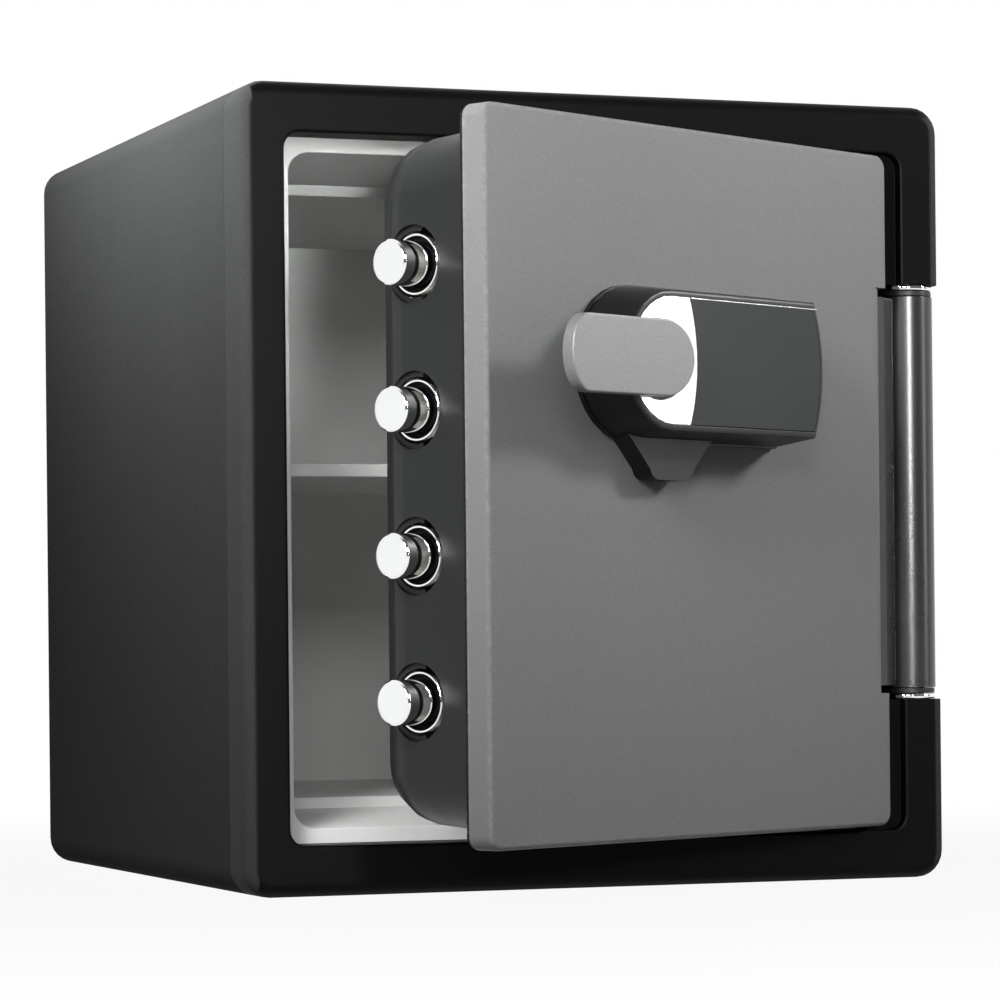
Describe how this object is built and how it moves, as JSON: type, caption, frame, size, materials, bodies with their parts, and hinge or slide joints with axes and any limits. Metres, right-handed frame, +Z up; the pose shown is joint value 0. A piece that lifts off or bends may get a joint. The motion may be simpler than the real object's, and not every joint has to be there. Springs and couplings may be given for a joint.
{
  "type": "fireproof safe",
  "caption": "Box-shaped fireproof safe, door ajar on a side hinge bar, sliding bolts driven by a lever, electronic lock housing, light liner with a shelf.",
  "frame": {"origin": "centre of the flat underside of the casing, on the surface the safe stands on", "axes": "+Z up; -Y out of the front, where the door is; +X to the right as seen from the front, the side with the hinge bar"},
  "size_m": [0.429, 0.6512, 0.452],
  "materials": {
    "casing_paint": "dark grey textured powder coat",
    "frame_resin": "black moulded resin with a fine grain",
    "fire_fill": "dull mineral insulation mix",
    "liner_resin": "light grey moulded resin, slight sheen",
    "steel": "turned steel",
    "chrome": "polished chrome plate",
    "black_resin": "near-black resin, soft gloss",
    "door_paint": "mid grey hammered powder coat",
    "seal_rubber": "rough black foam seal",
    "plug_resin": "dark grey moulded resin",
    "bar_paint": "dark grey satin coat",
    "zinc": "zinc plated steel",
    "bezel_silver": "silver plated trim",
    "panel_gloss": "smoked glossy touch panel",
    "cell_sleeve": "plain printed film sleeve",
    "board_green": "solder mask",
    "lever_paint": "fine sand-textured silver grey"
  },
  "bodies": {
    "cabinet": {"outer_casing": "casing_paint", "back_panel": "casing_paint", "front_frame": "frame_resin", "insulation_fill": "fire_fill", "inner_liner": "liner_resin", "shelf": "liner_resin", "upper_hinge_pin": "steel", "upper_hinge_ring": "chrome", "upper_hinge_bush": "black_resin", "lower_hinge_pin": "steel", "lower_hinge_ring": "chrome", "lower_hinge_bush": "black_resin"},
    "door": {"door_skin": "door_paint", "door_seal": "seal_rubber", "door_liner": "plug_resin", "door_insulation": "fire_fill", "hinge_bar": "bar_paint", "service_cover": "plug_resin", "cover_screw_1": "zinc", "cover_screw_2": "zinc", "cover_screw_3": "zinc", "cover_screw_4": "zinc", "bolt_collar_1": "chrome", "bolt_collar_2": "chrome", "bolt_collar_3": "chrome", "bolt_collar_4": "chrome", "lock_chassis": "zinc", "solenoid": "black_resin", "solenoid_plunger": "steel", "lock_base": "black_resin", "lock_housing": "black_resin", "bezel_plate": "bezel_silver", "touch_panel": "panel_gloss", "battery_tray": "black_resin", "battery_1": "cell_sleeve", "battery_2": "cell_sleeve", "battery_3": "cell_sleeve", "battery_4": "cell_sleeve", "circuit_board": "board_green", "handle_collar": "black_resin"},
    "boltwork": {"bolt_bar": "zinc", "bolt_1": "chrome", "bolt_2": "chrome", "bolt_3": "chrome", "bolt_4": "chrome"},
    "handle": {"lever": "lever_paint", "spindle": "steel", "spindle_cam": "zinc"},
    "battery_cover": {"battery_cover": "black_resin"}
  },
  "joints": [
    {"name": "door_swing", "type": "hinge", "parent": "cabinet", "child": "door", "pos_m": [0.19825, -0.2075, 0.226], "axis": [0, 0, 1], "range_deg": [-27.6, 80]},
    {"name": "handle_turn", "type": "hinge", "parent": "door", "child": "handle", "pos_m": [-0.02856, -0.38503, 0.289], "axis": [0.4633, -0.8862, 0], "range_deg": [0, 60]},
    {"name": "bolts_slide", "type": "slide", "parent": "door", "child": "boltwork", "axis": [0.8862, 0.4633, 0], "range_m": [0, 0.02]},
    {"name": "battery_cover_slide", "type": "slide", "parent": "door", "child": "battery_cover", "axis": [0, 0, -1], "range_m": [0, 0.03]}
  ],
  "couplings": [
    {"joint": "bolts_slide", "follows": "handle_turn", "m_per_rad": 0.019098}
  ]
}
